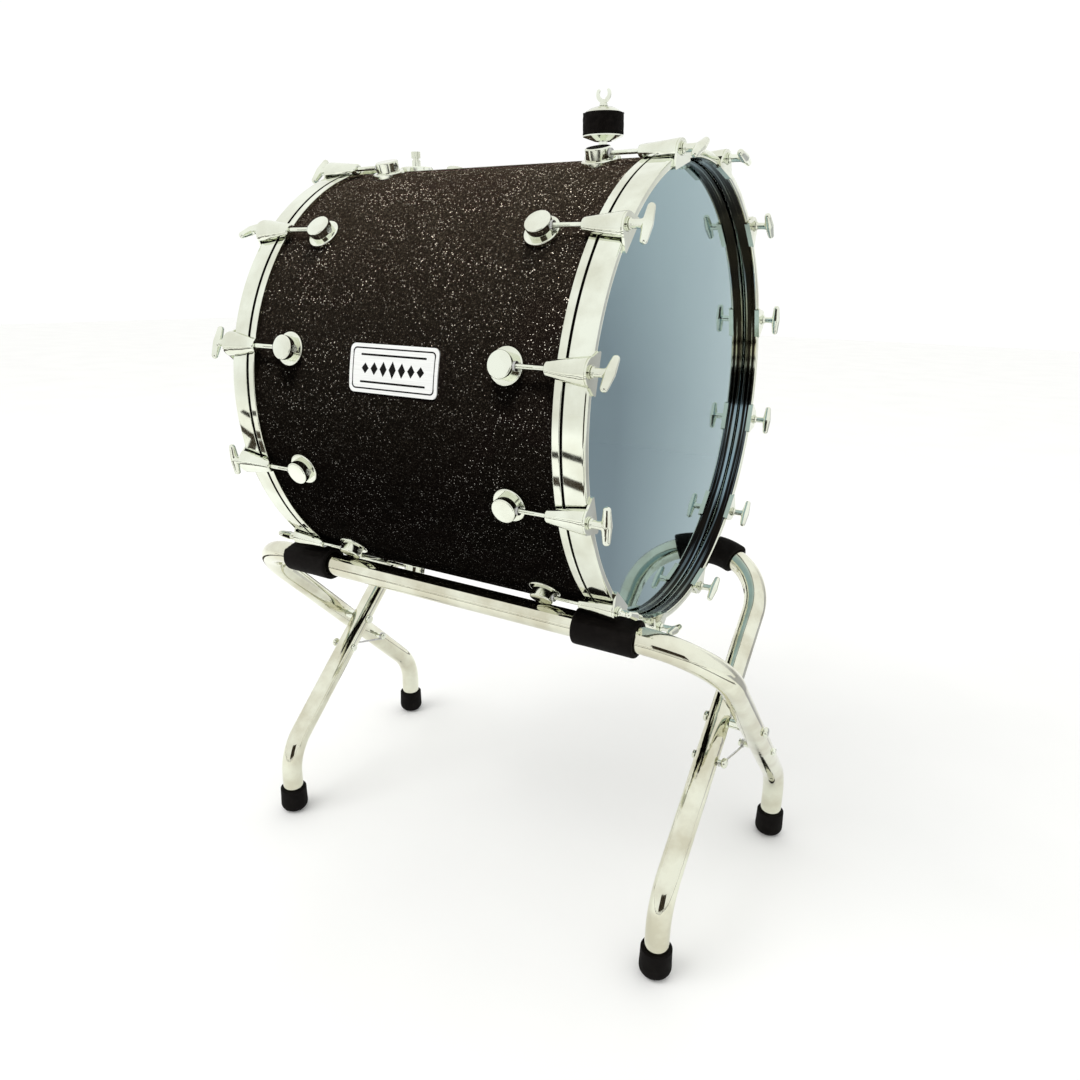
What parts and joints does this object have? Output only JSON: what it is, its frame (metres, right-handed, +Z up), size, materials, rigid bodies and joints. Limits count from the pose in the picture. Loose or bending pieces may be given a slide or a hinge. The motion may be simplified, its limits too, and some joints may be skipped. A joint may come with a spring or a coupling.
{
  "type": "bass drum on folding stand",
  "caption": "Double-headed bass drum with hooped black heads, T-handle tension rods and a cymbal holder, resting on a folding crossed-tube stand.",
  "frame": {"origin": "on the floor under the middle of the drum, at the centre of the four feet", "axes": "+Z up; X along the drum's axis, +X towards the playing head; the badge is on the -Y side"},
  "size_m": [0.7804, 0.5934, 1.0582],
  "materials": {
    "shell_ply": "satin lacquered birch ply inside",
    "sparkle_wrap": "gloss black sheet full of silver flakes",
    "black_film": "glossy ebony polyester film",
    "chrome_hardware": "polished chrome on die castings and steel",
    "chrome_hoop": "polished chrome on pressed steel",
    "chrome_tube": "polished chrome on bent steel tube",
    "rod_insert": "zinc plated",
    "zinc_screw": "zinc plated",
    "badge_metal": "bright satin plate with an engraved border line",
    "black_felt": "pressed wool felt",
    "black_rubber": "moulded matt rubber",
    "strut_wire": "plated spring wire"
  },
  "bodies": {
    "stand_outer": {"outer_frame": "chrome_tube", "sleeves_outer": "black_rubber", "feet_outer": "black_rubber", "pivot_bolts": "chrome_hardware", "pivot_spacers": "chrome_hardware", "stand_cap_nuts": "chrome_hardware", "strut_studs_outer": "chrome_hardware"},
    "stand_inner": {"inner_frame": "chrome_tube", "sleeves_inner": "black_rubber", "feet_inner": "black_rubber", "strut_studs_inner": "chrome_hardware"},
    "right_hook_strut": {"strut_right": "strut_wire"},
    "left_hook_strut": {"strut_left": "strut_wire"},
    "drum": {"shell": "shell_ply", "wrap": "sparkle_wrap", "head_film_front": "black_film", "head_film_rear": "black_film", "flesh_hoops": "chrome_hardware", "hoop_front": "chrome_hoop", "hoop_rear": "chrome_hoop", "lug_bases": "chrome_hardware", "lug_barrels": "chrome_hardware", "lug_inserts": "rod_insert", "shell_screws": "zinc_screw", "shell_washers": "zinc_screw", "claws": "chrome_hardware", "rod_washers": "chrome_hardware", "badge_plate": "badge_metal", "cymbal_base": "chrome_hardware", "cymbal_stem": "chrome_hardware", "cymbal_cup": "chrome_hardware", "cymbal_felt": "black_felt", "cymbal_top_washer": "chrome_hardware", "accessory_post": "chrome_hardware", "accessory_collar": "chrome_hardware"},
    "wing_nut": {"cymbal_wing_nut": "chrome_hardware"},
    "rod_body_front_01": {"tension_rod_front_01": "chrome_hardware"},
    "rod_body_front_02": {"tension_rod_front_02": "chrome_hardware"},
    "rod_body_front_03": {"tension_rod_front_03": "chrome_hardware"},
    "rod_body_front_04": {"tension_rod_front_04": "chrome_hardware"},
    "rod_body_front_05": {"tension_rod_front_05": "chrome_hardware"},
    "rod_body_front_06": {"tension_rod_front_06": "chrome_hardware"},
    "rod_body_front_07": {"tension_rod_front_07": "chrome_hardware"},
    "rod_body_front_08": {"tension_rod_front_08": "chrome_hardware"},
    "rod_body_front_09": {"tension_rod_front_09": "chrome_hardware"},
    "rod_body_front_10": {"tension_rod_front_10": "chrome_hardware"},
    "rod_body_front_11": {"tension_rod_front_11": "chrome_hardware"},
    "rod_body_front_12": {"tension_rod_front_12": "chrome_hardware"},
    "rod_body_rear_01": {"tension_rod_rear_01": "chrome_hardware"},
    "rod_body_rear_02": {"tension_rod_rear_02": "chrome_hardware"},
    "rod_body_rear_03": {"tension_rod_rear_03": "chrome_hardware"},
    "rod_body_rear_04": {"tension_rod_rear_04": "chrome_hardware"},
    "rod_body_rear_05": {"tension_rod_rear_05": "chrome_hardware"},
    "rod_body_rear_06": {"tension_rod_rear_06": "chrome_hardware"},
    "rod_body_rear_07": {"tension_rod_rear_07": "chrome_hardware"},
    "rod_body_rear_08": {"tension_rod_rear_08": "chrome_hardware"},
    "rod_body_rear_09": {"tension_rod_rear_09": "chrome_hardware"},
    "rod_body_rear_10": {"tension_rod_rear_10": "chrome_hardware"},
    "rod_body_rear_11": {"tension_rod_rear_11": "chrome_hardware"},
    "rod_body_rear_12": {"tension_rod_rear_12": "chrome_hardware"}
  },
  "joints": [
    {"name": "drum_lift", "type": "slide", "parent": "stand_outer", "child": "drum", "axis": [0, 0, 1], "range_m": [0, 0.525]},
    {"name": "stand_fold", "type": "hinge", "parent": "stand_outer", "child": "stand_inner", "pos_m": [0, 0, 0.27792], "axis": [1, 0, 0], "range_deg": [0, 75]},
    {"name": "right_strut_swing", "type": "hinge", "parent": "stand_outer", "child": "right_hook_strut", "pos_m": [0.341, 0.07, 0.21048], "axis": [1, 0, 0], "range_deg": [0, 75]},
    {"name": "left_strut_swing", "type": "hinge", "parent": "stand_outer", "child": "left_hook_strut", "pos_m": [-0.341, 0.07, 0.21048], "axis": [1, 0, 0], "range_deg": [0, 75]},
    {"name": "rod_front_01_turn", "type": "hinge", "parent": "drum", "child": "rod_body_front_01", "pos_m": [0.2, 0.05877, 0.98698], "axis": [1, 0, 0], "continuous": true},
    {"name": "rod_front_02_turn", "type": "hinge", "parent": "drum", "child": "rod_body_front_02", "pos_m": [0.2, 0.19278, 0.91958], "axis": [1, 0, 0], "continuous": true},
    {"name": "rod_front_03_turn", "type": "hinge", "parent": "drum", "child": "rod_body_front_03", "pos_m": [0.2, 0.27514, 0.79419], "axis": [1, 0, 0], "continuous": true},
    {"name": "rod_front_04_turn", "type": "hinge", "parent": "drum", "child": "rod_body_front_04", "pos_m": [0.2, 0.28378, 0.64443], "axis": [1, 0, 0], "continuous": true},
    {"name": "rod_front_05_turn", "type": "hinge", "parent": "drum", "child": "rod_body_front_05", "pos_m": [0.2, 0.21638, 0.51042], "axis": [1, 0, 0], "continuous": true},
    {"name": "rod_front_06_turn", "type": "hinge", "parent": "drum", "child": "rod_body_front_06", "pos_m": [0.2, 0.091, 0.42806], "axis": [1, 0, 0], "continuous": true},
    {"name": "rod_front_07_turn", "type": "hinge", "parent": "drum", "child": "rod_body_front_07", "pos_m": [0.2, -0.05877, 0.41942], "axis": [1, 0, 0], "continuous": true},
    {"name": "rod_front_08_turn", "type": "hinge", "parent": "drum", "child": "rod_body_front_08", "pos_m": [0.2, -0.19278, 0.48682], "axis": [1, 0, 0], "range_deg": [0, 65]},
    {"name": "rod_front_09_turn", "type": "hinge", "parent": "drum", "child": "rod_body_front_09", "pos_m": [0.2, -0.27514, 0.6122], "axis": [1, 0, 0], "continuous": true},
    {"name": "rod_front_10_turn", "type": "hinge", "parent": "drum", "child": "rod_body_front_10", "pos_m": [0.2, -0.28378, 0.76197], "axis": [1, 0, 0], "continuous": true},
    {"name": "rod_front_11_turn", "type": "hinge", "parent": "drum", "child": "rod_body_front_11", "pos_m": [0.2, -0.21638, 0.89598], "axis": [1, 0, 0], "continuous": true},
    {"name": "rod_front_12_turn", "type": "hinge", "parent": "drum", "child": "rod_body_front_12", "pos_m": [0.2, -0.091, 0.97834], "axis": [1, 0, 0], "continuous": true},
    {"name": "rod_rear_01_turn", "type": "hinge", "parent": "drum", "child": "rod_body_rear_01", "pos_m": [-0.2, 0.05877, 0.98698], "axis": [1, 0, 0], "continuous": true},
    {"name": "rod_rear_02_turn", "type": "hinge", "parent": "drum", "child": "rod_body_rear_02", "pos_m": [-0.2, 0.19278, 0.91958], "axis": [1, 0, 0], "continuous": true},
    {"name": "rod_rear_03_turn", "type": "hinge", "parent": "drum", "child": "rod_body_rear_03", "pos_m": [-0.2, 0.27514, 0.79419], "axis": [1, 0, 0], "continuous": true},
    {"name": "rod_rear_04_turn", "type": "hinge", "parent": "drum", "child": "rod_body_rear_04", "pos_m": [-0.2, 0.28378, 0.64443], "axis": [1, 0, 0], "continuous": true},
    {"name": "rod_rear_05_turn", "type": "hinge", "parent": "drum", "child": "rod_body_rear_05", "pos_m": [-0.2, 0.21638, 0.51042], "axis": [1, 0, 0], "continuous": true},
    {"name": "rod_rear_06_turn", "type": "hinge", "parent": "drum", "child": "rod_body_rear_06", "pos_m": [-0.2, 0.091, 0.42806], "axis": [1, 0, 0], "continuous": true},
    {"name": "rod_rear_07_turn", "type": "hinge", "parent": "drum", "child": "rod_body_rear_07", "pos_m": [-0.2, -0.05877, 0.41942], "axis": [1, 0, 0], "continuous": true},
    {"name": "rod_rear_08_turn", "type": "hinge", "parent": "drum", "child": "rod_body_rear_08", "pos_m": [-0.2, -0.19278, 0.48682], "axis": [1, 0, 0], "range_deg": [0, 65]},
    {"name": "rod_rear_09_turn", "type": "hinge", "parent": "drum", "child": "rod_body_rear_09", "pos_m": [-0.2, -0.27514, 0.6122], "axis": [1, 0, 0], "continuous": true},
    {"name": "rod_rear_10_turn", "type": "hinge", "parent": "drum", "child": "rod_body_rear_10", "pos_m": [-0.2, -0.28378, 0.76197], "axis": [1, 0, 0], "continuous": true},
    {"name": "rod_rear_11_turn", "type": "hinge", "parent": "drum", "child": "rod_body_rear_11", "pos_m": [-0.2, -0.21638, 0.89598], "axis": [1, 0, 0], "continuous": true},
    {"name": "rod_rear_12_turn", "type": "hinge", "parent": "drum", "child": "rod_body_rear_12", "pos_m": [-0.2, -0.091, 0.97834], "axis": [1, 0, 0], "continuous": true},
    {"name": "wing_nut_turn", "type": "hinge", "parent": "drum", "child": "wing_nut", "pos_m": [0.12, -0.01957, 1.04264], "axis": [0, -0.0576, 0.9983], "continuous": true}
  ],
  "couplings": [
    {"joint": "stand_fold", "follows": "drum_lift", "rad_per_m": 2.4933},
    {"joint": "right_strut_swing", "follows": "drum_lift", "rad_per_m": 2.4933},
    {"joint": "left_strut_swing", "follows": "drum_lift", "rad_per_m": 2.4933}
  ]
}
